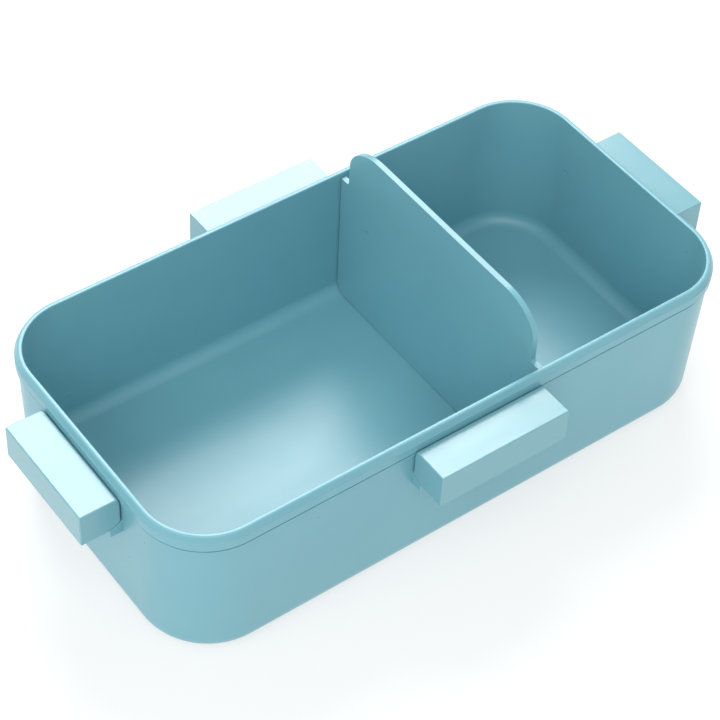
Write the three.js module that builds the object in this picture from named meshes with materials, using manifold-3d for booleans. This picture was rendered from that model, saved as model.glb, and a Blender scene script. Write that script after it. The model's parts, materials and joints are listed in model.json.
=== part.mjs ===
// A bento lunch box with its lid off: one moulded container, a lift-out divider, and four clasps
// that swing on hinge bars moulded into the container's walls.
// Millimetres, +Z up, +X towards the small compartment, origin at the middle of the underside.
import * as THREE from "three";
import { mergeVertices } from "three/addons/utils/BufferGeometryUtils.js";
import Module from "manifold-3d";

// Container
const mouthLength = 164.8; // inside of the mouth, along X
const mouthWidth = 82.6; // inside of the mouth, along Y
const mouthCornerRadius = 16; // inside of the mouth, in plan
const containerHeight = 45;
const wallThickness = 1.5;
const floorThickness = 1.8; // above the recess in the underside
const wallDraft = 0.5; // how far the walls lean in between the mouth and the base
const baseCornerRadius = 19; // outside, in plan, at the base
const baseFillet = 5; // outside edge between the walls and the underside
const floorFillet = 3.5; // inside edge between the walls and the floor

// Rim: a rounded lip stands on a ledge, and a fine groove runs under the ledge's band
const lipWidth = 1.2;
const lipHeight = 1.9;
const ledgeWidth = 0.8;
const bandHeight = 2.3;
const grooveHeight = 0.4;
const grooveDepth = 0.4;

// Underside
const footWidth = 4; // flat ring that the box stands on
const footHeight = 0.6;

// Divider
const dividerPlace = 20.5; // middle of its thickness, along X
const dividerThickness = 1.5;
const dividerRise = 14.3; // how far its top stands above the rim
const dividerShoulderDrop = 1.3; // from the rim's top down to the shoulders
const dividerShoulderInset = 3.7; // how far the upper part steps in from the mouth
const dividerCornerWidth = 12;
const dividerCornerHeight = 9;
const dividerSideGap = 0.4;
const dividerFloorGap = 0.3;

// Clasps
const longSideClaspLength = 38.2;
const shortSideClaspLength = 33.4;
const claspDrop = 3.8; // from the rim's top down to the top faces of the open clasps
const claspReach = 11; // from the wall's face out to a clasp's outer face
const claspDepth = 10; // top face to underside
const claspShell = 1.2; // thickness of the clasp's own walls
const claspWallGap = 0.25; // between a clasp and the wall behind it
const runningGap = 0.25; // between a clasp and the bracket that carries it

// Hinges
const hingeOut = 5.2; // hinge axis, out from the wall's face
const hingeDrop = 2.35; // hinge axis, below the clasp's top face
const barRadius = 0.9; // hinge bar
const hookThickness = 1; // clasp's hook round the bar
const hookWidth = 5;
const hookMouthAngle = Math.PI / 3; // opening that snaps over the bar
const earThickness = 2.2;
const railReach = 3.3; // bracket's rail, out from the wall's face
const railDrop = 2.3; // from the clasps' undersides down to the rail's
const wallBite = 0.9; // how deep the bracket is rooted in the wall

// Smoothness
const cornerSteps = 14;
const filletSteps = 5;
const barSteps = 24;
const weldTolerance = 1e-4;

const colours = { container: 0x86b6c2, clasp: 0xa3cfd6, divider: 0x5b95a3 };

const wasm = await Module();
wasm.setup();

// A closed three.js geometry as a solid that can be joined and cut.
function solidOf(geometry) {
  const bare = geometry.index ? geometry.toNonIndexed() : geometry.clone();
  bare.deleteAttribute("normal");
  bare.deleteAttribute("uv");
  const welded = mergeVertices(bare, weldTolerance);
  const mesh = new wasm.Mesh({
    numProp: 3,
    vertProperties: welded.attributes.position.array,
    triVerts: new Uint32Array(welded.index.array),
  });
  return new wasm.Manifold(mesh);
}

function geometryOf(solid) {
  const mesh = solid.getMesh();
  const geometry = new THREE.BufferGeometry();
  geometry.setAttribute("position", new THREE.BufferAttribute(new Float32Array(mesh.vertProperties), 3));
  geometry.setIndex(new THREE.BufferAttribute(new Uint32Array(mesh.triVerts), 1));
  const faceted = geometry.toNonIndexed();
  faceted.computeVertexNormals();
  return faceted;
}

function meshOf(name, geometry, colour, roughness) {
  const material = new THREE.MeshStandardMaterial({ color: colour, roughness, metalness: 0 });
  const mesh = new THREE.Mesh(geometry, material);
  mesh.name = name;
  return mesh;
}

// A rounded rectangle at height z whose sides lie `offset` outside the mouth's edge.
function ring(offset, z, cornerRadius) {
  const halfLength = mouthLength / 2 + offset;
  const halfWidth = mouthWidth / 2 + offset;
  const quarter = Math.PI / 2;
  const signs = [[1, 1], [-1, 1], [-1, -1], [1, -1]];
  return signs.flatMap(([signX, signY], index) => {
    const centreX = signX * (halfLength - cornerRadius);
    const centreY = signY * (halfWidth - cornerRadius);
    const start = index * quarter;
    const corner = new THREE.EllipseCurve(centreX, centreY, cornerRadius, cornerRadius, start, start + quarter);
    return corner.getPoints(cornerSteps).map((point) => new THREE.Vector3(point.x, point.y, z));
  });
}

// A skin through rings of equal point count, closed by a fan over the first and the last ring.
function loft(rings) {
  const count = rings[0].length;
  const points = rings.flat();
  const faces = [];
  rings.slice(1).forEach((_, level) => {
    const lower = level * count;
    const upper = lower + count;
    for (let i = 0; i < count; i += 1) {
      const next = (i + 1) % count;
      faces.push(lower + i, lower + next, upper + next);
      faces.push(lower + i, upper + next, upper + i);
    }
  });
  const last = (rings.length - 1) * count;
  const firstCentre = points.push(new THREE.Vector3(0, 0, rings[0][0].z)) - 1;
  const lastCentre = points.push(new THREE.Vector3(0, 0, rings.at(-1)[0].z)) - 1;
  for (let i = 0; i < count; i += 1) {
    const next = (i + 1) % count;
    faces.push(firstCentre, next, i);
    faces.push(lastCentre, last + i, last + next);
  }
  return new THREE.BufferGeometry().setFromPoints(points).setIndex(faces);
}

// How far the outer wall's face stands outside the mouth's edge at height z.
function wallOffset(z) {
  return wallThickness - wallDraft * (1 - z / containerHeight);
}

// The plan radius of the outer wall's corners at height z.
function wallCornerRadius(z) {
  return THREE.MathUtils.lerp(baseCornerRadius, mouthCornerRadius + wallThickness, z / containerHeight);
}

// A ring `inset` inside the outer wall at height z.
function wallRing(z, inset) {
  return ring(wallOffset(z) - inset, z, wallCornerRadius(z) - inset);
}

// Rings of a fillet of the given radius that turns between the level `bottom` and the wall's side.
function filletRings(bottom, radius, inset) {
  const rings = [];
  for (let step = 0; step <= filletSteps; step += 1) {
    const angle = (step / filletSteps) * (Math.PI / 2);
    const z = bottom + radius * (1 - Math.cos(angle));
    rings.push(wallRing(z, inset + radius * (1 - Math.sin(angle))));
  }
  return rings;
}

// Rings over the lip's rounded crown, from its outer side to its inner side.
function crownRings() {
  const radius = lipWidth / 2;
  const rings = [];
  for (let step = 0; step <= filletSteps; step += 1) {
    const angle = (step / filletSteps) * Math.PI;
    const offset = radius * (1 + Math.cos(angle));
    rings.push(ring(offset, containerHeight - radius * (1 - Math.sin(angle)), mouthCornerRadius + offset));
  }
  return rings;
}

function shell() {
  const ledgeTop = containerHeight - lipHeight;
  const bandBottom = ledgeTop - bandHeight;
  const grooveBottom = bandBottom - grooveHeight;
  const bandOffset = lipWidth + ledgeWidth;
  const bandRing = (z, offset) => ring(offset, z, mouthCornerRadius + offset);
  const footInset = baseFillet + footWidth;
  const floorTop = footHeight + floorThickness;
  return loft([
    wallRing(footHeight, footInset),
    wallRing(0, footInset),
    ...filletRings(0, baseFillet, 0),
    wallRing(grooveBottom, 0),
    wallRing(grooveBottom, grooveDepth),
    wallRing(bandBottom, grooveDepth),
    bandRing(bandBottom, bandOffset),
    bandRing(ledgeTop, bandOffset),
    bandRing(ledgeTop, lipWidth),
    ...crownRings(),
    ...filletRings(floorTop, floorFillet, wallThickness).reverse(),
  ]);
}

// Where each clasp sits: the middle of the wall's face at the level of the clasp's top,
// turned so that the clasp's own +Y points straight out of the box.
const wallFaceX = mouthLength / 2 + wallThickness;
const wallFaceY = mouthWidth / 2 + wallThickness;
const claspTop = containerHeight - claspDrop;
const claspPlaces = [
  { name: "clasp_front", x: 0, y: -wallFaceY, turn: Math.PI, length: longSideClaspLength },
  { name: "clasp_back", x: 0, y: wallFaceY, turn: 0, length: longSideClaspLength },
  { name: "clasp_left", x: -wallFaceX, y: 0, turn: Math.PI / 2, length: shortSideClaspLength },
  { name: "clasp_right", x: wallFaceX, y: 0, turn: -Math.PI / 2, length: shortSideClaspLength },
];

// Extrudes an outline drawn in a clasp's (outward, up) plane along the clasp's length, centred on `middle`.
function alongClasp(outline, length, middle, steps = cornerSteps) {
  const geometry = new THREE.ExtrudeGeometry(outline, { depth: length, bevelEnabled: false, curveSegments: steps });
  // The outline's plane (x, y) becomes (y, z), and the extrusion runs along x.
  geometry.applyMatrix4(new THREE.Matrix4().set(0, 0, 1, middle - length / 2, 1, 0, 0, 0, 0, 1, 0, 0, 0, 0, 0, 1));
  return solidOf(geometry);
}

function polygon(points) {
  return new THREE.Shape(points.map(([out, up]) => new THREE.Vector2(out, up)));
}

function earPlaces(length) {
  const outer = length / 2 - claspShell - runningGap - earThickness / 2;
  return [-outer, 0, outer];
}

// Radii about the hinge axis of a clasp's two inner corners. The upper one clears the wall and
// the lower one clears the rail as the clasp swings up.
const upperRadius = hingeOut - claspWallGap;
const lowerRadius = claspDepth - hingeDrop;

// The bracket moulded on the wall: a rail, hollowed to the clasp's swing, with three ears that
// hold up the hinge bar.
function bracket(length) {
  const railBottom = -claspDepth - railDrop;
  const railRadius = lowerRadius + runningGap;
  const railAngle = (out) => Math.PI + Math.acos((hingeOut - out) / railRadius);
  const rail = new THREE.Shape();
  rail.moveTo(-wallBite, railBottom);
  rail.lineTo(railReach, railBottom);
  rail.absarc(hingeOut, -hingeDrop, railRadius, railAngle(railReach), railAngle(-wallBite), true);
  rail.closePath();
  const earShoulder = -hingeDrop - upperRadius - runningGap;
  const ear = new THREE.Shape();
  ear.moveTo(-wallBite, railBottom);
  ear.lineTo(railReach, railBottom);
  ear.lineTo(railReach, -claspDepth);
  ear.lineTo(hingeOut + barRadius, -claspDepth);
  ear.lineTo(hingeOut + barRadius, -hingeDrop);
  ear.absarc(hingeOut, -hingeDrop, barRadius, 0, Math.PI, false);
  ear.lineTo(hingeOut - barRadius, earShoulder);
  ear.lineTo(-wallBite, earShoulder);
  ear.closePath();
  const bar = new THREE.Shape().absarc(hingeOut, -hingeDrop, barRadius, 0, 2 * Math.PI, false);
  const places = earPlaces(length);
  const solids = places.map((middle) => alongClasp(ear, earThickness, middle));
  solids.push(alongClasp(bar, places.at(-1) - places[0], 0, barSteps));
  return solids.reduce((whole, solid) => whole.add(solid), alongClasp(rail, length, 0));
}

function container() {
  const solid = claspPlaces.reduce((whole, place) => {
    const placed = geometryOf(bracket(place.length));
    placed.rotateZ(place.turn);
    placed.translate(place.x, place.y, claspTop);
    return whole.add(solidOf(placed));
  }, solidOf(shell()));
  return meshOf("container", geometryOf(solid), colours.container, 0.35);
}

// The clasp's end view. Both inner corners are arcs about the hinge.
function claspOutline() {
  const topStart = Math.PI - Math.asin(hingeDrop / upperRadius);
  const lowerStart = Math.PI + Math.acos(upperRadius / lowerRadius);
  const outline = new THREE.Shape();
  outline.moveTo(claspReach, -claspDepth);
  outline.lineTo(claspReach, 0);
  outline.absarc(hingeOut, -hingeDrop, upperRadius, topStart, Math.PI, false);
  outline.absarc(hingeOut, -hingeDrop, lowerRadius, lowerStart, 1.5 * Math.PI, false);
  outline.closePath();
  return outline;
}

// The hollow between the end cheeks, open towards the wall. The underside's inner edge
// stops against the ears, which holds the open clasp level.
function claspHollow() {
  const undersideEdge = hingeOut + barRadius + runningGap;
  return polygon([
    [-claspReach, -claspShell],
    [claspReach - claspShell, -claspShell],
    [claspReach - claspShell, -claspDepth + claspShell],
    [undersideEdge, -claspDepth + claspShell],
    [undersideEdge, -2 * claspDepth],
    [-claspReach, -2 * claspDepth],
  ]);
}

// The hook that snaps over the hinge bar, hanging from the top plate.
function hookOutline() {
  const innerRadius = barRadius + runningGap;
  const outerRadius = innerRadius + hookThickness;
  const from = -Math.PI / 2 + hookMouthAngle / 2;
  const to = (3 * Math.PI) / 2 - hookMouthAngle / 2;
  const outline = new THREE.Shape();
  outline.absarc(hingeOut, -hingeDrop, outerRadius, from, to, false);
  outline.absarc(hingeOut, -hingeDrop, innerRadius, to, from, true);
  outline.closePath();
  return outline;
}

function clasp(place) {
  const body = alongClasp(claspOutline(), place.length, 0);
  const hollow = alongClasp(claspHollow(), place.length - 2 * claspShell, 0);
  const hookPlace = earPlaces(place.length).at(-1) / 2;
  const hooks = [-hookPlace, hookPlace].map((middle) => alongClasp(hookOutline(), hookWidth, middle));
  const solid = hooks.reduce((whole, hook) => whole.add(hook), body.subtract(hollow));
  const geometry = geometryOf(solid);
  // The mesh's own origin is on the hinge axis.
  geometry.translate(0, -hingeOut, hingeDrop);
  const mesh = meshOf(place.name, geometry, colours.clasp, 0.3);
  mesh.position.set(0, hingeOut, -hingeDrop);
  const mount = new THREE.Group();
  mount.position.set(place.x, place.y, claspTop);
  mount.rotation.z = place.turn;
  mount.add(mesh);
  return mount;
}

// The divider stands on the floor and fills the box from wall to wall up to its shoulders.
// Above them a narrower, round-cornered part rises over the rim.
function divider() {
  const floorTop = footHeight + floorThickness;
  const bottom = floorTop + dividerFloorGap;
  const shoulder = containerHeight - dividerShoulderDrop;
  const top = containerHeight + dividerRise;
  const innerHalf = (z) => mouthWidth / 2 + wallOffset(z) - wallThickness - dividerSideGap;
  const bottomRadius = floorFillet + dividerSideGap;
  const upperHalf = mouthWidth / 2 - dividerShoulderInset;
  const outline = new THREE.Shape();
  outline.moveTo(innerHalf(bottom) - bottomRadius, bottom);
  outline.absarc(innerHalf(bottom) - bottomRadius, bottom + bottomRadius, bottomRadius, -Math.PI / 2, 0, false);
  outline.lineTo(innerHalf(shoulder), shoulder);
  outline.lineTo(upperHalf, shoulder);
  outline.absellipse(
    upperHalf - dividerCornerWidth, top - dividerCornerHeight,
    dividerCornerWidth, dividerCornerHeight, 0, Math.PI / 2, false,
  );
  outline.absellipse(
    dividerCornerWidth - upperHalf, top - dividerCornerHeight,
    dividerCornerWidth, dividerCornerHeight, Math.PI / 2, Math.PI, false,
  );
  outline.lineTo(-upperHalf, shoulder);
  outline.lineTo(-innerHalf(shoulder), shoulder);
  outline.absarc(bottomRadius - innerHalf(bottom), bottom + bottomRadius, bottomRadius, Math.PI, 1.5 * Math.PI, false);
  outline.closePath();
  const geometry = new THREE.ExtrudeGeometry(outline, {
    depth: dividerThickness,
    bevelEnabled: false,
    curveSegments: cornerSteps,
  });
  geometry.translate(0, 0, -dividerThickness / 2);
  const mesh = meshOf("divider", geometry, colours.divider, 0.4);
  // Stands the outline's plane upright, across the box.
  mesh.rotation.set(Math.PI / 2, Math.PI / 2, 0);
  mesh.position.x = dividerPlace;
  return mesh;
}

const box = new THREE.Group();
box.add(container(), divider(), ...claspPlaces.map(clasp));

export default box;
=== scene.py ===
# %% [markdown]
# A bento lunch box with its lid off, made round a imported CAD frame. The frame gives the places of
# the hinges and the size of every part, so each piece here is drawn to it and then finished with
# what a moulder would add: soft edges, draft, a rolled lip and a real plastic surface.

# %% Load the frame
import json
import math

import bpy
from mathutils import Matrix, Vector


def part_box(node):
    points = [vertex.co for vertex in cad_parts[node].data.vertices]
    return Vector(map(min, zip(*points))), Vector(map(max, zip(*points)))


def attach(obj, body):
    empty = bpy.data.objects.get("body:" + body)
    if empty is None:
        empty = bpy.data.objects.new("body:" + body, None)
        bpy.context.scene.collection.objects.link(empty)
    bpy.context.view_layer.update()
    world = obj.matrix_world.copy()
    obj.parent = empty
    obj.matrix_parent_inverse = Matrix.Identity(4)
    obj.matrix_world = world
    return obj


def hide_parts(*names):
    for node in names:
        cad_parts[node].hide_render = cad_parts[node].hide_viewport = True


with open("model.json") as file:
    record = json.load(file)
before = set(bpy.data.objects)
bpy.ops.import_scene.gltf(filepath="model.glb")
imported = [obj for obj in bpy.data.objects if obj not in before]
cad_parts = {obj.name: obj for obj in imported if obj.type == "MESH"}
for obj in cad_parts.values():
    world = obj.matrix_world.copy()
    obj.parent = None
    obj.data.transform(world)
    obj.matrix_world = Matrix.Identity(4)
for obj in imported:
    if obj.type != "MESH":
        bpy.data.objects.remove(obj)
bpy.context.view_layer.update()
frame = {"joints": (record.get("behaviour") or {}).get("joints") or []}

MM = 0.001

# %% [markdown]
# The camera stands in front and to the left of the box and looks down at it through a long lens,
# as a product photographer does to keep the sides nearly parallel. It leans a little to one side,
# so its axes are worked out from two turns and a roll.

# %% Place the camera
camera_azimuth = math.radians(-38.67)
camera_elevation = math.radians(47.05)
camera_roll = math.radians(3.57)
camera_distance = 558.8 * MM
camera_lens = 114.95
sensor_width = 36
rim_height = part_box("container")[1].z
clasp_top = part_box("clasp_front")[1].z
camera_aim = Vector((-12.87 * MM, -12.34 * MM, clasp_top))

backward = Vector((
    math.sin(camera_azimuth) * math.cos(camera_elevation),
    -math.cos(camera_azimuth) * math.cos(camera_elevation),
    math.sin(camera_elevation),
))
level_right = Vector((math.cos(camera_azimuth), math.sin(camera_azimuth), 0))
level_up = backward.cross(level_right)
right = level_right * math.cos(camera_roll) + level_up * math.sin(camera_roll)
up = level_up * math.cos(camera_roll) - level_right * math.sin(camera_roll)

camera = bpy.data.objects.new("camera", bpy.data.cameras.new("camera"))
bpy.context.scene.collection.objects.link(camera)
camera.data.lens = camera_lens
camera.data.sensor_width = sensor_width
camera.matrix_world = Matrix((
    (right.x, up.x, backward.x, 0),
    (right.y, up.y, backward.y, 0),
    (right.z, up.z, backward.z, 0),
    (0, 0, 0, 1),
))
camera.location = camera_aim + backward * camera_distance
bpy.context.scene.camera = camera
print("camera stands at", [round(v, 3) for v in camera.location])

# %% [markdown]
# The container is one thin moulding. Its walls lean in slightly so that it comes out of the mould,
# and its corners open up towards the base. Its rim is a lip whose face runs out and down to a small
# ledge and a band, with a groove and a slim bead under the band. A cube with bevelled edges can't give
# all of that at once. So the shape is built as a boat's hull is, from cross-sections: rounded
# rectangles stacked along the path of the wall, up the outside, over the lip and down the inside, and
# each is bridged to the next.

# %% Sizes of the container, in millimetres
mouth_half_length = 82.4
mouth_half_width = 41.3
mouth_corner_radius = 16
wall_thickness = 1.5
wall_draft = 0.5
base_corner_radius = 19
base_fillet = 5
floor_fillet = 3.5
floor_thickness = 1.8
foot_width = 4
foot_height = 0.6
lip_width = 1.35
lip_foot = 1.85
lip_height = 1.6
ledge_width = 0.15
ledge_drop = 0.08
crown_outer_radius = 0.5
crown_inner_radius = 0.25
band_bottom = 40.8
groove_height = 0.8
groove_depth = 0.35
bead_height = 0.7
bead_out = 0.25
container_height = rim_height / MM
step_slope = 0.03
corner_segments = 20
fillet_segments = 9
crown_segments = 4


def wall_offset(z):
    """How far the outer wall stands outside the mouth's edge at height z."""
    return wall_thickness - wall_draft * (1 - z / container_height)


def wall_section(z, inset):
    """(offset from the mouth's edge, corner radius, height) of the outer wall, less an inset."""
    share = z / container_height
    radius = base_corner_radius + (mouth_corner_radius + wall_thickness - base_corner_radius) * share
    return wall_offset(z) - inset, radius - inset, z


def rim_section(z, offset):
    """The same for the rim, which stands upright."""
    return offset, mouth_corner_radius + offset, z


def fillet_sections(bottom, radius, inset):
    """Sections that turn from flat at the given level up into the wall."""
    angles = [math.pi / 2 * step / fillet_segments for step in range(fillet_segments + 1)]
    return [
        wall_section(bottom + radius * (1 - math.cos(a)), inset + radius * (1 - math.sin(a)))
        for a in angles
    ]


def crown_sections():
    """Sections over the lip's top, which is nearly flat between two rounded edges."""
    angles = [math.pi / 2 * step / crown_segments for step in range(crown_segments + 1)]
    edge_height = container_height - step_slope
    outside = [
        rim_section(
            edge_height - crown_outer_radius * (1 - math.sin(a)),
            lip_width - crown_outer_radius * (1 - math.cos(a)),
        )
        for a in angles
    ]
    inside = [
        rim_section(
            edge_height - crown_inner_radius * (1 - math.sin(a)),
            crown_inner_radius * (1 - math.cos(a)),
        )
        for a in reversed(angles)
    ]
    return [*outside, rim_section(container_height, lip_width / 2), *inside]


ledge_top = container_height - lip_height
groove_bottom = band_bottom - groove_height
bead_bottom = groove_bottom - bead_height
foot_inset = base_fillet + foot_width
floor_top = foot_height + floor_thickness
container_sections = [
    wall_section(foot_height, foot_inset),
    wall_section(step_slope, foot_inset),
    *fillet_sections(0, base_fillet, 0),
    wall_section(bead_bottom - bead_out, 0),
    wall_section(bead_bottom, -bead_out),
    wall_section(groove_bottom, -bead_out),
    wall_section(groove_bottom + step_slope, groove_depth),
    wall_section(band_bottom - step_slope, groove_depth),
    rim_section(band_bottom, lip_foot + ledge_width),
    rim_section(ledge_top - ledge_drop, lip_foot + ledge_width),
    rim_section(ledge_top, lip_foot),
    *crown_sections(),
    *reversed(fillet_sections(floor_top, floor_fillet, wall_thickness)),
]
print(len(container_sections), "sections from the underside to the floor")


# %% [markdown]
# A section starts as a plane of the right size. Bevelling its four corner points rounds it, and its
# face is then deleted so that only the outline is left. Each outline is remembered in a vertex group,
# because the next step has to find it again. Two neighbouring groups are selected and bridged, and
# the first and the last outline are filled. Bridge can't tell which way round to join two outlines
# that lie in one plane, so every flat step slopes by a few hundredths of a millimetre.

# %% Bridge the sections into the container
def start_piece(name):
    """An empty mesh object, in edit mode and with nothing else selected."""
    if bpy.context.object and bpy.context.object.mode == "EDIT":
        bpy.ops.object.mode_set(mode="OBJECT")
    bpy.ops.object.select_all(action="DESELECT")
    bpy.ops.mesh.primitive_plane_add(size=1)
    piece = bpy.context.object
    piece.name = name
    piece.data.name = name
    bpy.ops.object.mode_set(mode="EDIT")
    bpy.ops.mesh.delete(type="VERT")
    return piece


def remember_selection(piece):
    """Puts the selected points in a new vertex group and gives back its index."""
    bpy.ops.object.vertex_group_add()
    bpy.ops.object.vertex_group_assign()
    return piece.vertex_groups.active_index


def select_groups(piece, indices):
    bpy.ops.mesh.select_all(action="DESELECT")
    for index in indices:
        piece.vertex_groups.active_index = index
        bpy.ops.object.vertex_group_select()


def add_section(offset, radius, z):
    """A rounded rectangle at height z, whose sides stand outside the mouth's edge by the offset."""
    bpy.ops.mesh.primitive_plane_add(size=2 * MM, location=(0, 0, z * MM))
    halves = (mouth_half_length + offset, mouth_half_width + offset, 1)
    bpy.ops.transform.resize(value=halves, center_override=(0, 0, z * MM))
    bpy.ops.mesh.bevel(offset=radius * MM, segments=corner_segments, affect="VERTICES")


container = start_piece("container_moulding")
section_groups = []
for section in container_sections:
    add_section(*section)
    section_groups.append(remember_selection(container))
    bpy.ops.mesh.delete(type="ONLY_FACE")
for pair in zip(section_groups, section_groups[1:]):
    select_groups(container, pair)
    bpy.ops.mesh.bridge_edge_loops()
for cap in (section_groups[0], section_groups[-1]):
    select_groups(container, [cap])
    bpy.ops.mesh.edge_face_add()
bpy.ops.mesh.select_all(action="SELECT")
bpy.ops.mesh.normals_make_consistent(inside=False)
bpy.ops.object.mode_set(mode="OBJECT")
bpy.ops.object.vertex_group_remove(all=True)
print("container has", len(container.data.polygons), "faces")


# %% [markdown]
# No moulded edge is truly sharp: the cutter that made the mould leaves a small radius, and that
# radius is what catches the light along the rim. A Bevel modifier with an angle limit rounds only
# the hard edges, and leaves the fillets as they are.

# %% Soften the container's edges
def soften(piece, width, segments=3, angle=30):
    """Rounds every edge sharper than the angle, and applies the modifier."""
    bpy.ops.object.select_all(action="DESELECT")
    piece.select_set(True)
    bpy.context.view_layer.objects.active = piece
    modifier = piece.modifiers.new("soft edges", "BEVEL")
    modifier.width = width * MM
    modifier.segments = segments
    modifier.limit_method = "ANGLE"
    modifier.angle_limit = math.radians(angle)
    bpy.ops.object.modifier_apply(modifier=modifier.name)


soften(container, width=0.12)
print("container has", len(container.data.polygons), "faces with its edges softened")


# %% [markdown]
# Each clasp swings on a bar that is moulded with the container. Three ears hold the bar, and they
# stand on a rail whose top is hollowed to the clasp's swing. Most of it hides behind the clasp when
# the box is open. The sizes are given once, in the back clasp's own frame, and the hinge's place
# comes from the frame. The outlines are traced as with a pencil: one point is extruded along each
# straight line and spun round each arc, and the closed outline is filled and extruded to its
# thickness.

# %% Sizes of a clasp and its bracket, in millimetres, from the wall's face and the clasp's top
wall_face_x = mouth_half_length + wall_thickness
wall_face_y = mouth_half_width + wall_thickness
clasp_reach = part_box("clasp_back")[1].y / MM - wall_face_y
clasp_depth = (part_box("clasp_back")[1].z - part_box("clasp_back")[0].z) / MM
clasp_shell = 1.2
clasp_wall_gap = 0.25
running_gap = 0.25
hinge = {joint["child"]: Vector(joint["pos_m"]) for joint in frame["joints"] if "pos_m" in joint}
hinge_out = hinge["clasp_back"].y / MM - wall_face_y
hinge_drop = (clasp_top - hinge["clasp_back"].z) / MM
bar_radius = 0.9
hook_thickness = 1
hook_width = 5
hook_mouth = math.radians(60)
ear_thickness = 2.2
rail_reach = 3.3
rail_drop = 2.3
wall_bite = 0.9
rail_bottom = -clasp_depth - rail_drop
upper_radius = hinge_out - clasp_wall_gap
lower_radius = clasp_depth - hinge_drop
print("hinge is", round(hinge_out, 2), "mm out and", round(hinge_drop, 2), "mm down")


def clasp_point(out, rise, along=0.0):
    """A point of the back clasp's own frame, in metres in the box's frame."""
    return Vector((along * MM, (wall_face_y + out) * MM, clasp_top + rise * MM))


def start_outline(name, out, rise):
    """A piece that holds one point, selected, ready to be drawn on."""
    piece = start_piece(name)
    bpy.ops.mesh.primitive_plane_add(size=MM, location=clasp_point(out, rise))
    bpy.ops.mesh.merge(type="CENTER")
    return piece


def selected_point(piece):
    """The place of the one selected point, where the pencil stands."""
    piece.update_from_editmode()
    return next(v.co.copy() for v in piece.data.vertices if v.select)


def line_to(piece, out, rise):
    """Draws a straight line from the pencil to a point of the clasp's frame."""
    step = clasp_point(out, rise) - selected_point(piece)
    bpy.ops.mesh.extrude_region_move(TRANSFORM_OT_translate={"value": step})


def arc_by(angle, steps):
    """Spins the last point about the hinge, anticlockwise as seen with 'out' to the right.

    Spin turns clockwise about its axis, so the axis points the other way.
    """
    centre = clasp_point(hinge_out, -hinge_drop)
    bpy.ops.mesh.spin(steps=steps, angle=angle, center=centre, axis=(-1, 0, 0))


def fill_and_extrude(piece, length, middle=0.0):
    """Closes the outline, fills it and gives it a length along the clasp, centred on middle."""
    bpy.ops.mesh.select_all(action="SELECT")
    bpy.ops.mesh.remove_doubles(threshold=0.01 * MM)
    bpy.ops.mesh.edge_face_add()
    bpy.ops.transform.translate(value=((middle - length / 2) * MM, 0, 0))
    bpy.ops.mesh.extrude_region_move(TRANSFORM_OT_translate={"value": (length * MM, 0, 0)})
    bpy.ops.mesh.select_all(action="SELECT")
    bpy.ops.mesh.normals_make_consistent(inside=False)
    bpy.ops.object.mode_set(mode="OBJECT")


# %% [markdown]
# An ear is a flat bracket with a neck and a round head about the bar. The bar is a plain pin, so a
# cylinder does for it, and its ends sink into the outer ears. The rail is as long as the clasp. Its
# inner side reaches into the wall, so that the union has something to bite on.

# %% Trace an ear and a rail, and turn a bar
def make_ear(middle):
    """One ear, centred on the given place along the clasp."""
    ear_shoulder = -hinge_drop - upper_radius - running_gap
    ear = start_outline("ear", -wall_bite, rail_bottom)
    line_to(ear, rail_reach, rail_bottom)
    line_to(ear, rail_reach, -clasp_depth)
    line_to(ear, hinge_out + bar_radius, -clasp_depth)
    line_to(ear, hinge_out + bar_radius, -hinge_drop)
    arc_by(math.pi, steps=16)
    line_to(ear, hinge_out - bar_radius, ear_shoulder)
    line_to(ear, -wall_bite, ear_shoulder)
    fill_and_extrude(ear, ear_thickness, middle)
    soften(ear, width=0.2)
    return ear


def ear_places(length):
    """Where the ears stand along a clasp of the given length: at both ends and in the middle."""
    outer = length / 2 - clasp_shell - running_gap - ear_thickness / 2
    return [-outer, 0, outer]


def make_bar(length):
    """The bar, from the middle of one outer ear to the middle of the other."""
    bpy.ops.object.select_all(action="DESELECT")
    bpy.ops.mesh.primitive_cylinder_add(
        vertices=32,
        radius=bar_radius * MM,
        depth=2 * ear_places(length)[-1] * MM,
        location=clasp_point(hinge_out, -hinge_drop),
        rotation=(0, math.pi / 2, 0),
    )
    bpy.ops.object.transform_apply(location=True, rotation=True, scale=True)
    return bpy.context.object


def make_rail(length):
    """The rail, whose top is an arc about the hinge, a running gap outside the clasp's corner."""
    rail_radius = lower_radius + running_gap
    outer_angle = math.acos((hinge_out - rail_reach) / rail_radius)
    inner_angle = math.acos((hinge_out + wall_bite) / rail_radius)
    rail = start_outline("rail", -wall_bite, rail_bottom)
    line_to(rail, rail_reach, rail_bottom)
    line_to(rail, rail_reach, -hinge_drop - rail_radius * math.sin(outer_angle))
    arc_by(inner_angle - outer_angle, steps=8)
    fill_and_extrude(rail, length)
    soften(rail, width=0.2)
    return rail


print("rail's top is an arc of", round(lower_radius + running_gap, 2), "mm about the hinge")


# %% [markdown]
# The parts of a bracket are joined to the container by a Boolean union, because on the real box
# they are one piece of plastic. One bracket is made for the long sides and one for the short sides.
# Each is copied and turned about the box's middle, and moved out to its own wall.

# %% Join the brackets to the container
def combine(piece, other, operation):
    """Applies a Boolean with the other piece, and removes the other piece."""
    bpy.ops.object.select_all(action="DESELECT")
    piece.select_set(True)
    bpy.context.view_layer.objects.active = piece
    modifier = piece.modifiers.new(operation.lower(), "BOOLEAN")
    modifier.operation = operation
    modifier.object = other
    modifier.solver = "MANIFOLD"
    bpy.ops.object.modifier_apply(modifier=modifier.name)
    bpy.data.objects.remove(other)


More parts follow.
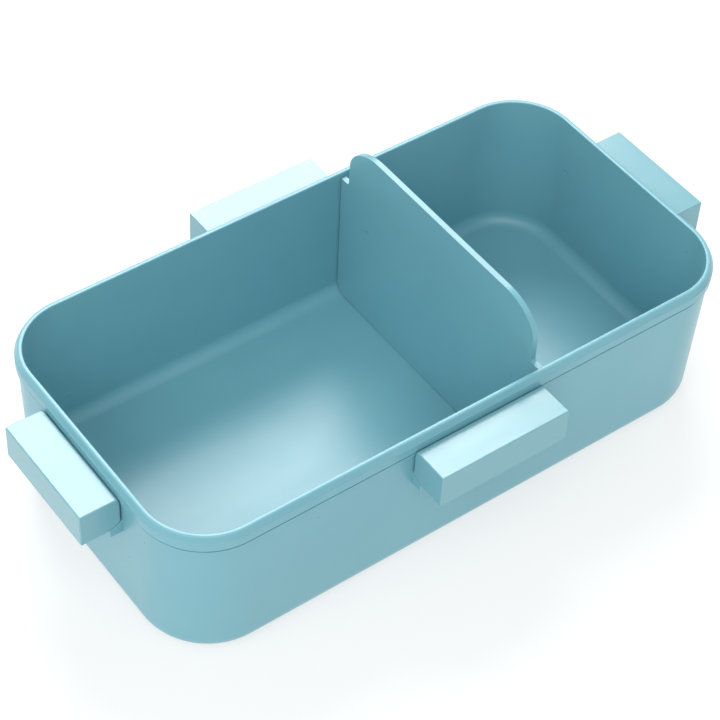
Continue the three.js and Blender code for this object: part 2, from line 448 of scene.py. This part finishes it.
def copy_to_side(piece, name, quarter_turns, wall_distance):
    """A copy with its own mesh, turned about the box's middle and moved out to that wall."""
    copied = piece.copy()
    copied.data = piece.data.copy()
    copied.name = name
    copied.data.name = name
    bpy.context.scene.collection.objects.link(copied)
    out = Matrix.Translation((0, (wall_distance - wall_face_y) * MM, 0))
    copied.data.transform(Matrix.Rotation(quarter_turns * math.pi / 2, 4, "Z") @ out)
    return copied


long_length = (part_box("clasp_back")[1].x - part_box("clasp_back")[0].x) / MM
short_length = (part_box("clasp_left")[1].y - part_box("clasp_left")[0].y) / MM
sides = {
    "back": (long_length, 0, wall_face_y),
    "left": (short_length, 1, wall_face_x),
    "front": (long_length, 2, wall_face_y),
    "right": (short_length, 3, wall_face_x),
}
brackets = {}
for length in (long_length, short_length):
    brackets[length] = make_rail(length)
    for place in ear_places(length):
        combine(brackets[length], make_ear(place), "UNION")
    combine(brackets[length], make_bar(length), "UNION")
for side, (length, turns, distance) in sides.items():
    combine(container, copy_to_side(brackets[length], "bracket_" + side, turns, distance), "UNION")
for bracket in brackets.values():
    bpy.data.objects.remove(bracket)
print("container has", len(container.data.polygons), "faces with its brackets")


# %% [markdown]
# A clasp is a hollow block. Its two inner corners are arcs about the hinge, so that it clears the
# wall and the rail as it swings up. The outline is traced and extruded as the ears were, its outer
# edges are softened, and then a Boolean cuts the hollow and adds the hooks that snap over the bar.

# %% Make the clasps
def make_clasp_block(length):
    """The clasp's solid block, with its two inner corners turned about the hinge."""
    clasp = start_outline("clasp", clasp_reach, -clasp_depth)
    line_to(clasp, clasp_reach, 0)
    top_start = math.pi - math.asin(hinge_drop / upper_radius)
    line_to(clasp, hinge_out + upper_radius * math.cos(top_start), 0)
    arc_by(math.pi - top_start, steps=6)
    lower_angle = math.acos(upper_radius / lower_radius)
    line_to(clasp, clasp_wall_gap, -hinge_drop - lower_radius * math.sin(lower_angle))
    arc_by(math.pi / 2 - lower_angle, steps=8)
    fill_and_extrude(clasp, length)
    soften(clasp, width=0.32, segments=4)
    return clasp


def make_hollow(length):
    """What is cut from the block: it runs out past the wall's side and down past the underside."""
    underside_edge = hinge_out + bar_radius + running_gap
    hollow = start_outline("hollow", -clasp_reach, -clasp_shell)
    line_to(hollow, clasp_reach - clasp_shell, -clasp_shell)
    line_to(hollow, clasp_reach - clasp_shell, -clasp_depth + clasp_shell)
    line_to(hollow, underside_edge, -clasp_depth + clasp_shell)
    line_to(hollow, underside_edge, -2 * clasp_depth)
    line_to(hollow, -clasp_reach, -2 * clasp_depth)
    fill_and_extrude(hollow, length - 2 * clasp_shell)
    return hollow


def make_hook(middle):
    """A C-shaped hook round the bar, open below, centred on the given place along the clasp."""
    inner_radius = bar_radius + running_gap
    outer_radius = inner_radius + hook_thickness
    start = -math.pi / 2 + hook_mouth / 2
    sweep = 2 * math.pi - hook_mouth
    hook = start_outline(
        "hook",
        hinge_out + outer_radius * math.cos(start),
        -hinge_drop + outer_radius * math.sin(start),
    )
    arc_by(sweep, steps=24)
    end = start + sweep
    line_to(
        hook,
        hinge_out + inner_radius * math.cos(end),
        -hinge_drop + inner_radius * math.sin(end),
    )
    arc_by(-sweep, steps=24)
    fill_and_extrude(hook, hook_width, middle)
    return hook


clasp_patterns = {}
for length in (long_length, short_length):
    pattern = make_clasp_block(length)
    combine(pattern, make_hollow(length), "DIFFERENCE")
    hook_place = ear_places(length)[-1] / 2
    for middle in (-hook_place, hook_place):
        combine(pattern, make_hook(middle), "UNION")
    clasp_patterns[length] = pattern
clasps = {
    side: copy_to_side(clasp_patterns[length], "clasp_" + side + "_moulding", turns, distance)
    for side, (length, turns, distance) in sides.items()
}
for pattern in clasp_patterns.values():
    bpy.data.objects.remove(pattern)
for side, piece in clasps.items():
    print(piece.name, "has", len(piece.data.polygons), "faces")


# %% [markdown]
# The divider is a flat moulded plate that stands across the box. It fills the box up to its
# shoulders, and a narrower part with large soft corners rises over the rim so that the food can be
# piled up. It starts as a thin block. The top is drawn in and extruded up, and the corners are
# bevelled. They are wider than they are tall, so the top is made too tall first and then pressed down.

# %% Make the divider
divider_low, divider_high = (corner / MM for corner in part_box("divider"))
shoulder_drop = 1.3
shoulder_inset = 3.7
side_gap = 0.4
corner_width = 12
corner_height = 9
corner_margin = 0.01
shoulder_radius = 0.8
near = 0.1
merge_distance = 0.005
shoulder_height = container_height - shoulder_drop
upper_half = mouth_half_width - shoulder_inset
divider_middle = (divider_low + divider_high) / 2


def inner_half(z):
    """Half the divider's width at height z, which follows the lean of the walls."""
    return mouth_half_width + wall_offset(z) - wall_thickness - side_gap


def select_near(piece, test):
    """Selects the points for which the test of their place, in millimetres, is true."""
    bpy.ops.mesh.select_all(action="DESELECT")
    bpy.ops.object.mode_set(mode="OBJECT")
    for vertex in piece.data.vertices:
        vertex.select = test(vertex.co / MM)
    bpy.ops.object.mode_set(mode="EDIT")
    bpy.ops.mesh.select_mode(type="VERT")


divider = start_piece("divider_plate")
bpy.ops.mesh.primitive_cube_add(size=2 * MM)
shoulder_middle = (divider_low.z + shoulder_height) / 2
bpy.ops.transform.resize(
    value=(
        (divider_high.x - divider_low.x) / 2,
        inner_half(divider_low.z),
        (shoulder_height - divider_low.z) / 2,
    ),
    center_override=(0, 0, 0),
)
bpy.ops.transform.translate(value=(divider_middle.x * MM, 0, shoulder_middle * MM))
select_near(divider, lambda place: place.z > shoulder_middle)
widen = inner_half(shoulder_height) / inner_half(divider_low.z)
bpy.ops.transform.resize(value=(1, widen, 1), center_override=(0, 0, 0))
bpy.ops.mesh.extrude_region_move(TRANSFORM_OT_translate={"value": (0, 0, 0)})
narrow = upper_half / inner_half(shoulder_height)
bpy.ops.transform.resize(value=(1, narrow, 1), center_override=(0, 0, 0))
straight_rise = divider_high.z - corner_height - shoulder_height
bpy.ops.mesh.extrude_region_move(TRANSFORM_OT_translate={"value": (0, 0, straight_rise * MM)})
bpy.ops.mesh.extrude_region_move(TRANSFORM_OT_translate={"value": (0, 0, corner_width * MM)})
bpy.ops.mesh.select_mode(type="EDGE")


def select_edges(piece, test):
    """Selects the edges for which the test of their two ends, in millimetres, is true."""
    bpy.ops.mesh.select_all(action="DESELECT")
    bpy.ops.object.mode_set(mode="OBJECT")
    for edge in piece.data.edges:
        first, second = (piece.data.vertices[index].co / MM for index in edge.vertices)
        edge.select = test(first, second)
    bpy.ops.object.mode_set(mode="EDIT")


crown_base = divider_high.z - corner_height
select_edges(divider, lambda a, b: min(a.z, b.z) > crown_base + 1 and abs(a.y - b.y) < near)
bpy.ops.mesh.bevel(offset=(corner_width - corner_margin) * MM, segments=18, affect="EDGES")
select_near(divider, lambda place: place.z > crown_base - near)
squeeze = corner_height / corner_width
bpy.ops.transform.resize(value=(1, 1, squeeze), center_override=(0, 0, crown_base * MM))
bpy.ops.mesh.select_mode(type="EDGE")
select_edges(divider, lambda a, b: max(a.z, b.z) < divider_low.z + near and abs(a.y - b.y) < near)
bpy.ops.mesh.bevel(offset=(floor_fillet + side_gap) * MM, segments=10, affect="EDGES")
select_edges(
    divider,
    lambda a, b: abs(a.z - shoulder_height) + abs(b.z - shoulder_height) < near
    and abs(a.y - b.y) < near
    and abs(abs(a.y) - upper_half) < near,
)
bpy.ops.mesh.bevel(offset=shoulder_radius * MM, segments=6, affect="EDGES")
bpy.ops.mesh.select_all(action="SELECT")
bpy.ops.mesh.remove_doubles(threshold=merge_distance * MM)
bpy.ops.mesh.normals_make_consistent(inside=False)
bpy.ops.object.mode_set(mode="OBJECT")
soften(divider, width=0.4, segments=4, angle=50)
print("divider has", len(divider.data.polygons), "faces")


# %% [markdown]
# Both plastics start from the same two functions: one turns a paint-chart colour into the linear
# numbers that a shader needs, and one adds a node with its settings and its links.

# %% Helpers for materials
def linear(hex_colour):
    """An sRGB hex colour as linear RGB with alpha."""
    channels = [int(hex_colour[i:i + 2], 16) / 255 for i in (1, 3, 5)]
    return [c / 12.92 if c <= 0.04045 else ((c + 0.055) / 1.055) ** 2.4 for c in channels] + [1]


def add_node(tree, kind, settings=None, inputs=None):
    """Adds a node, sets its properties, and sets or links its inputs."""
    made = tree.nodes.new(kind)
    for name, value in (settings or {}).items():
        setattr(made, name, value)
    for name, value in (inputs or {}).items():
        if isinstance(value, bpy.types.NodeSocket):
            tree.links.new(value, made.inputs[name])
        else:
            made.inputs[name].default_value = value
    return made


def new_material(name):
    """A material with an empty node tree, and that tree."""
    material = bpy.data.materials.new(name)
    material.use_nodes = True
    material.node_tree.nodes.clear()
    return material, material.node_tree


print("white is", linear("#FFFFFF"), "in linear numbers")

# %% [markdown]
# Polypropylene is what microwave-safe boxes are moulded from. It is slightly waxy: light goes a
# millimetre or two into it before it comes back, and the steel mould is spark-finished, which leaves
# a fine satin grain. Mouldings also carry faint flow marks and a little unevenness, which shows only
# where light slides along the surface. The grain is about a tenth of a millimetre on the real box,
# and it is drawn at a quarter of a millimetre here so that it shows.

# %% Satin polypropylene for the container and the divider
cloud_mm = 28
flow_mm = 9
scuff_mm = 16
scuff_stretch = 14
gloss_swing = 0.12
scuff_dulling = 0.05
cloud_height_mm = 0.05


def satin_plastic(name, colour, shade, roughness, ior, grain_mm, grain_height_mm, depth_mm):
    """A moulded plastic with satin grain, faint flow marks, fine scuffs and uneven gloss."""
    material, tree = new_material(name)
    place = add_node(tree, "ShaderNodeTexCoord").outputs["Object"]
    cloud = add_node(tree, "ShaderNodeTexNoise", inputs={
        "Vector": place, "Scale": 1 / (cloud_mm * MM), "Detail": 3, "Roughness": 0.55,
    })
    flow_place = add_node(tree, "ShaderNodeMapping", inputs={
        "Vector": place, "Scale": (0.35, 1, 1.6),
    })
    flow = add_node(tree, "ShaderNodeTexNoise", inputs={
        "Vector": flow_place.outputs["Vector"], "Scale": 1 / (flow_mm * MM),
        "Detail": 4, "Distortion": 0.6,
    })
    grain = add_node(tree, "ShaderNodeTexNoise", inputs={
        "Vector": place, "Scale": 1 / (grain_mm * MM), "Detail": 2, "Roughness": 0.6,
    })
    scuff_place = add_node(tree, "ShaderNodeMapping", inputs={
        "Vector": place, "Rotation": (0.3, 0.2, 0.7), "Scale": (1, scuff_stretch, scuff_stretch),
    })
    scuff = add_node(tree, "ShaderNodeTexNoise", inputs={
        "Vector": scuff_place.outputs["Vector"], "Scale": 1 / (scuff_mm * MM),
        "Detail": 6, "Roughness": 0.7,
    })
    scuff_amount = add_node(tree, "ShaderNodeMapRange", inputs={
        "Value": scuff.outputs["Fac"], "From Min": 0.6, "From Max": 0.75,
    })
    tint = add_node(tree, "ShaderNodeMapRange", inputs={
        "Value": cloud.outputs["Fac"], "From Min": 0.3, "From Max": 0.7,
    })
    base = add_node(tree, "ShaderNodeMix", {"data_type": "RGBA"}, {
        "Factor": tint.outputs["Result"], 6: linear(colour), 7: linear(shade),
    })
    gloss = add_node(tree, "ShaderNodeMath", {"operation": "MULTIPLY_ADD"}, {
        0: flow.outputs["Fac"], 1: gloss_swing, 2: roughness - gloss_swing / 2,
    })
    gloss_with_scuffs = add_node(tree, "ShaderNodeMath", {"operation": "MULTIPLY_ADD"}, {
        0: scuff_amount.outputs["Result"], 1: scuff_dulling, 2: gloss.outputs["Value"],
    })
    wave = add_node(tree, "ShaderNodeBump", inputs={
        "Height": cloud.outputs["Fac"], "Strength": 0.5, "Distance": cloud_height_mm * MM,
    })
    satin = add_node(tree, "ShaderNodeBump", inputs={
        "Height": grain.outputs["Fac"], "Strength": 0.5, "Distance": grain_height_mm * MM,
        "Normal": wave.outputs["Normal"],
    })
    shader = add_node(tree, "ShaderNodeBsdfPrincipled", inputs={
        "Base Color": base.outputs[2],
        "Roughness": gloss_with_scuffs.outputs["Value"],
        "IOR": ior,
        "Subsurface Weight": 0.15,
        "Subsurface Radius": (0.6, 1.0, 1.1),
        "Subsurface Scale": depth_mm * MM,
        "Normal": satin.outputs["Normal"],
    })
    add_node(tree, "ShaderNodeOutputMaterial", inputs={"Surface": shader.outputs["BSDF"]})
    return material


polypropylene = satin_plastic(
    "satin_polypropylene", colour="#77B0BC", shade="#73ACB9", roughness=0.3, ior=1.49,
    grain_mm=0.25, grain_height_mm=0.012, depth_mm=1.5,
)
print(polypropylene.name, "has", len(polypropylene.node_tree.nodes), "nodes")

# %% [markdown]
# The clasps are ABS, which is stiffer, so its edges stay crisp, and it takes a closer copy of a
# polished mould. It looks a little glossier than the polypropylene beside it. Its grain is drawn
# coarser than on the real clasps too, at three tenths of a millimetre, and very shallow.

# %% Satin ABS for the clasps
abs_plastic = satin_plastic(
    "satin_abs", colour="#78ADB8", shade="#75ABB6", roughness=0.2, ior=1.57,
    grain_mm=0.3, grain_height_mm=0.008, depth_mm=0.8,
)
print(abs_plastic.name, "has", len(abs_plastic.node_tree.nodes), "nodes")


# %% [markdown]
# A moulding's flat faces look flat and its rounded edges look round. Smooth shading gives the rounds,
# but it would make the flats look dented, so the normals are weighted by the size of each face. Then
# each piece gets its plastic, and is hung on the body that it moves with.

# %% Finish the pieces and hang them on the frame
smooth_angle = math.radians(32)


def finish_piece(piece, material, body, nodes):
    """Shades a piece, gives it its material, hangs it on its body and hides the CAD nodes that it
    stands for.
    """
    bpy.ops.object.select_all(action="DESELECT")
    piece.select_set(True)
    bpy.context.view_layer.objects.active = piece
    bpy.ops.object.shade_smooth_by_angle(angle=smooth_angle)
    weighted = piece.modifiers.new("even normals", "WEIGHTED_NORMAL")
    weighted.keep_sharp = True
    bpy.ops.object.modifier_apply(modifier=weighted.name)
    piece.data.materials.clear()
    piece.data.materials.append(material)
    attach(piece, body)
    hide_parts(*nodes)


finish_piece(container, polypropylene, "container", ["container"])
finish_piece(divider, polypropylene, "divider", ["divider"])
for side, piece in clasps.items():
    finish_piece(piece, abs_plastic, "clasp_" + side, ["clasp_" + side])
print("finished:", container.name, divider.name, *(piece.name for piece in clasps.values()))

# %% [markdown]
# The studio is white all round, so that the plastic's colour comes from the plastic. The box stands
# on a light table: a pale sheet that glows faintly from within, so that it stays white and its
# shadows stay thin, and so that the walls get light from below. The key softbox hangs behind the box,
# where its mirror image lies in the top faces. Two wide, weak fills, from the front and from the left,
# open up the inside.

# %% Light the box on a pale light table
table_size = 4
table_glow = 0.6
studio_strength = 0.6

bpy.context.scene.view_settings.view_transform = "Standard"
bpy.ops.object.select_all(action="DESELECT")
bpy.ops.mesh.primitive_plane_add(size=table_size, location=(0, 0, 0))
floor = bpy.context.object
floor.name = "floor"
floor_material, floor_tree = new_material("light_table_sheet")
sheet = add_node(floor_tree, "ShaderNodeBsdfPrincipled", inputs={
    "Base Color": linear("#A4A6A6"), "Roughness": 0.9, "Specular IOR Level": 0.1,
    "Emission Color": (1, 1, 1, 1), "Emission Strength": table_glow,
})
add_node(floor_tree, "ShaderNodeOutputMaterial", inputs={"Surface": sheet.outputs["BSDF"]})
floor.data.materials.append(floor_material)

world = bpy.data.worlds.new("white studio")
bpy.context.scene.world = world
world.use_nodes = True
world.node_tree.nodes["Background"].inputs["Color"].default_value = (1, 1, 1, 1)
world.node_tree.nodes["Background"].inputs["Strength"].default_value = studio_strength


def add_softbox(name, azimuth, elevation, distance, size, radiance):
    """A round softbox that looks at the box from the given direction, in degrees from +X."""
    light = bpy.data.objects.new(name, bpy.data.lights.new(name, "AREA"))
    bpy.context.scene.collection.objects.link(light)
    light.data.shape = "DISK"
    light.data.size = size
    light.data.energy = radiance * math.pi * math.pi * size ** 2 / 4
    turn = math.radians(azimuth)
    rise = math.radians(elevation)
    direction = Vector((
        math.cos(turn) * math.cos(rise),
        math.sin(turn) * math.cos(rise),
        math.sin(rise),
    ))
    light.location = direction * distance
    light.rotation_mode = "QUATERNION"
    light.rotation_quaternion = (-direction).to_track_quat("-Z", "Y")
    return light


add_softbox("key softbox", azimuth=63, elevation=46, distance=1.4, size=0.8, radiance=9)
add_softbox("front fill", azimuth=-125, elevation=52, distance=1.4, size=1.2, radiance=1.9)
add_softbox("left fill", azimuth=186, elevation=38, distance=1.4, size=1.0, radiance=1.7)
